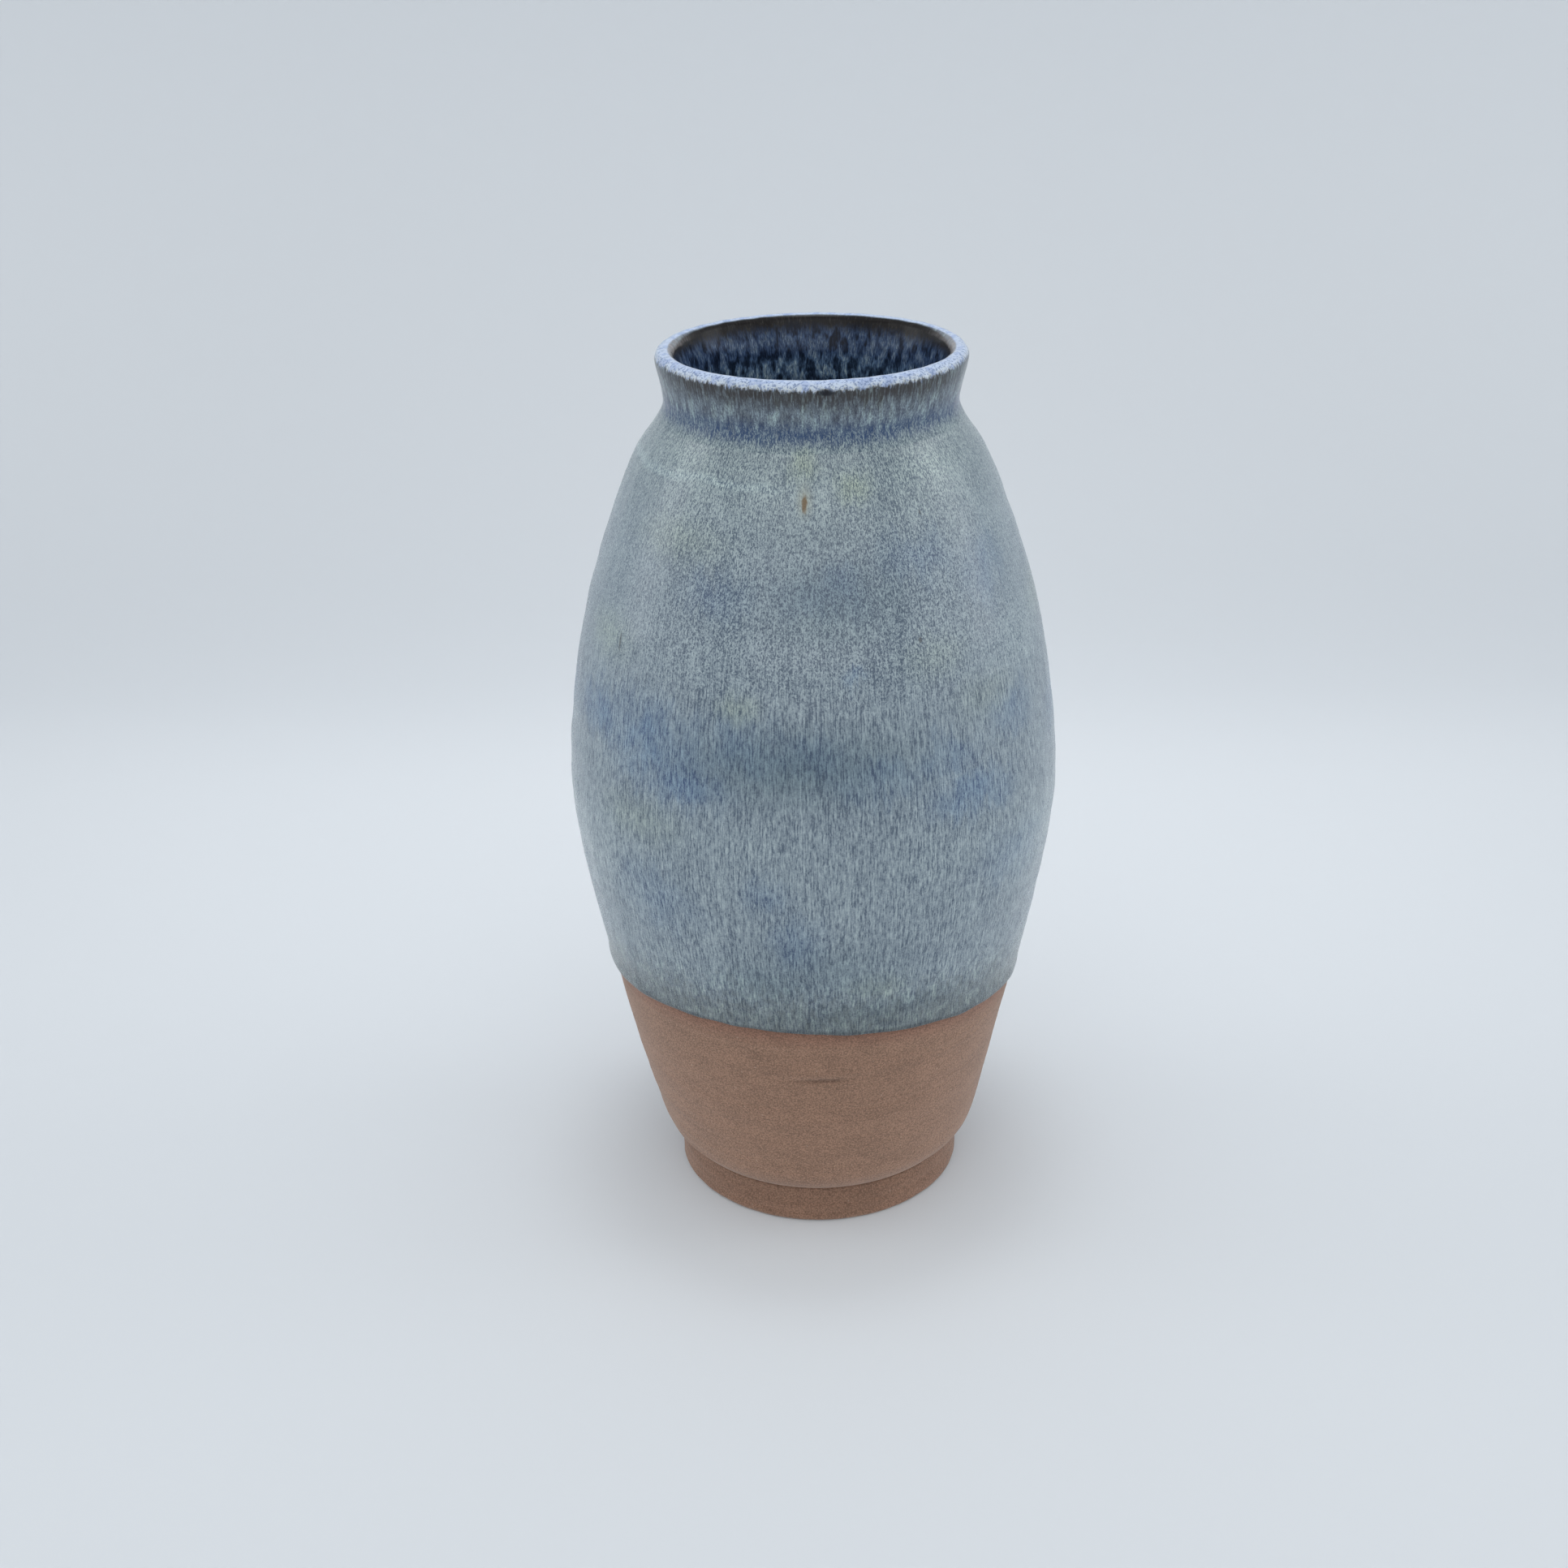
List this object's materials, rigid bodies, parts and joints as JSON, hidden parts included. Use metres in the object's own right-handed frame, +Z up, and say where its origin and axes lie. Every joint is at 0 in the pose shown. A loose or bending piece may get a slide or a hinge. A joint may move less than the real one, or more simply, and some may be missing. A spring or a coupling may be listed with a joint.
{
  "type": "vase",
  "caption": "Wheel-thrown stoneware vase: ovoid belly on a turned foot, short flared neck, streaked blue-grey glaze over a bare clay base.",
  "frame": {"origin": "centre of the foot ring's resting face", "axes": "+Z up along the vase's axis, -Y towards the side where the glaze line is highest"},
  "size_m": [0.1264, 0.1264, 0.23],
  "materials": {
    "bare_stoneware": "matte, fine-grained unglazed clay",
    "streaked_glaze": "satin, streaked blue-grey",
    "rim_glaze": "glossy, pale blue on the lip over dark brown",
    "liner_glaze": "glossy, dark navy with blue runs"
  },
  "bodies": {
    "root": {"foot_ring": "bare_stoneware", "clay_body": "bare_stoneware", "outer_glaze": "streaked_glaze", "rim_glaze": "rim_glaze", "liner_glaze": "liner_glaze"}
  },
  "joints": []
}
